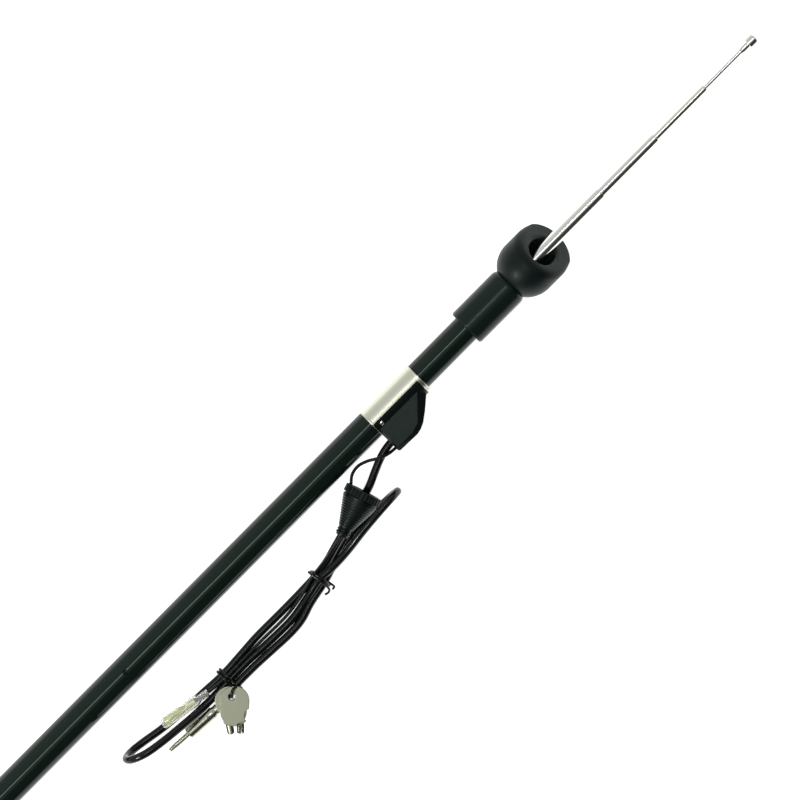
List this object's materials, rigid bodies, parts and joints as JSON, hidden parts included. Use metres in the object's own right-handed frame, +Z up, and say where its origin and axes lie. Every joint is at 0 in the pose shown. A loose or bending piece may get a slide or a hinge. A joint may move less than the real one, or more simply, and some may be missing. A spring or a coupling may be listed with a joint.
{
  "type": "telescopic wing antenna",
  "caption": "Telescopic wing antenna lying on its side: black housing tube, bright sleeve with lead exit, sloped pad, chrome mast, tied coaxial lead with plug, and keys.",
  "frame": {"origin": "middle of the rigid pieces' box, on the surface that the antenna lies on", "axes": "+X along the mast towards its tip, rising 1.1 degrees; +Z up from the surface; the lead leaves towards -Y"},
  "size_m": [0.7205, 0.1031, 0.0399],
  "materials": {
    "housing_black": "smooth, low gloss",
    "collar_black": "satin",
    "pad_rubber": "matte moulded",
    "moulded_black": "fine satin",
    "bright_sleeve": "bright plated",
    "mast_chrome": "polished",
    "natural_plastic": "natural",
    "contact_brass": "plain",
    "lead_black": "glossy",
    "plug_nickel": "bright nickel",
    "clear_cover": "clear soft plastic",
    "terminal_brass": "pale brass",
    "key_steel": "dull nickel"
  },
  "bodies": {
    "aerial": {"housing_tube": "housing_black", "bottom_cap": "moulded_black", "insulating_liner": "moulded_black", "bright_sleeve": "bright_sleeve", "neck_tube": "housing_black", "collar": "collar_black", "mast_guide": "natural_plastic", "contact_collar": "contact_brass", "contact_tab": "contact_brass", "lead_cover": "moulded_black", "cover_rivet": "mast_chrome", "cone_grommet": "pad_rubber", "grommet_ring": "moulded_black", "coaxial_lead": "lead_black", "earth_lead": "lead_black", "wire_tie_upper": "lead_black", "wire_tie_lower": "lead_black", "plug_shell": "plug_nickel", "plug_insulator": "natural_plastic", "plug_pin": "plug_nickel", "terminal_cover": "clear_cover", "brass_terminal": "terminal_brass", "key_upper": "key_steel", "key_lower": "key_steel"},
    "pad": {"wing_pad": "pad_rubber"},
    "stage_1": {"mast_tube_1": "mast_chrome", "foot_bush_1": "contact_brass"},
    "stage_2": {"mast_tube_2": "mast_chrome", "foot_bush_2": "contact_brass"},
    "stage_3": {"mast_tube_3": "mast_chrome", "foot_bush_3": "contact_brass"},
    "stage_4": {"mast_rod": "mast_chrome", "rod_foot": "contact_brass", "tip_cap": "mast_chrome"}
  },
  "joints": [
    {"name": "stage_1_slide", "type": "slide", "parent": "aerial", "child": "stage_1", "axis": [0.9998, 0, 0.0192], "range_m": [-0.0527, 0.2236]},
    {"name": "stage_2_slide", "type": "slide", "parent": "stage_1", "child": "stage_2", "axis": [0.9998, 0, 0.0192], "range_m": [-0.0486, 0.3437]},
    {"name": "stage_3_slide", "type": "slide", "parent": "stage_2", "child": "stage_3", "axis": [0.9998, 0, 0.0192], "range_m": [-0.0435, 0.3135]},
    {"name": "stage_4_slide", "type": "slide", "parent": "stage_3", "child": "stage_4", "axis": [0.9998, 0, 0.0192], "range_m": [-0.0299, 0.2991]},
    {"name": "pad_turn", "type": "hinge", "parent": "aerial", "child": "pad", "pos_m": [0.14975, 0.003, 0.02], "axis": [0.9998, 0, 0.0192], "continuous": true}
  ]
}
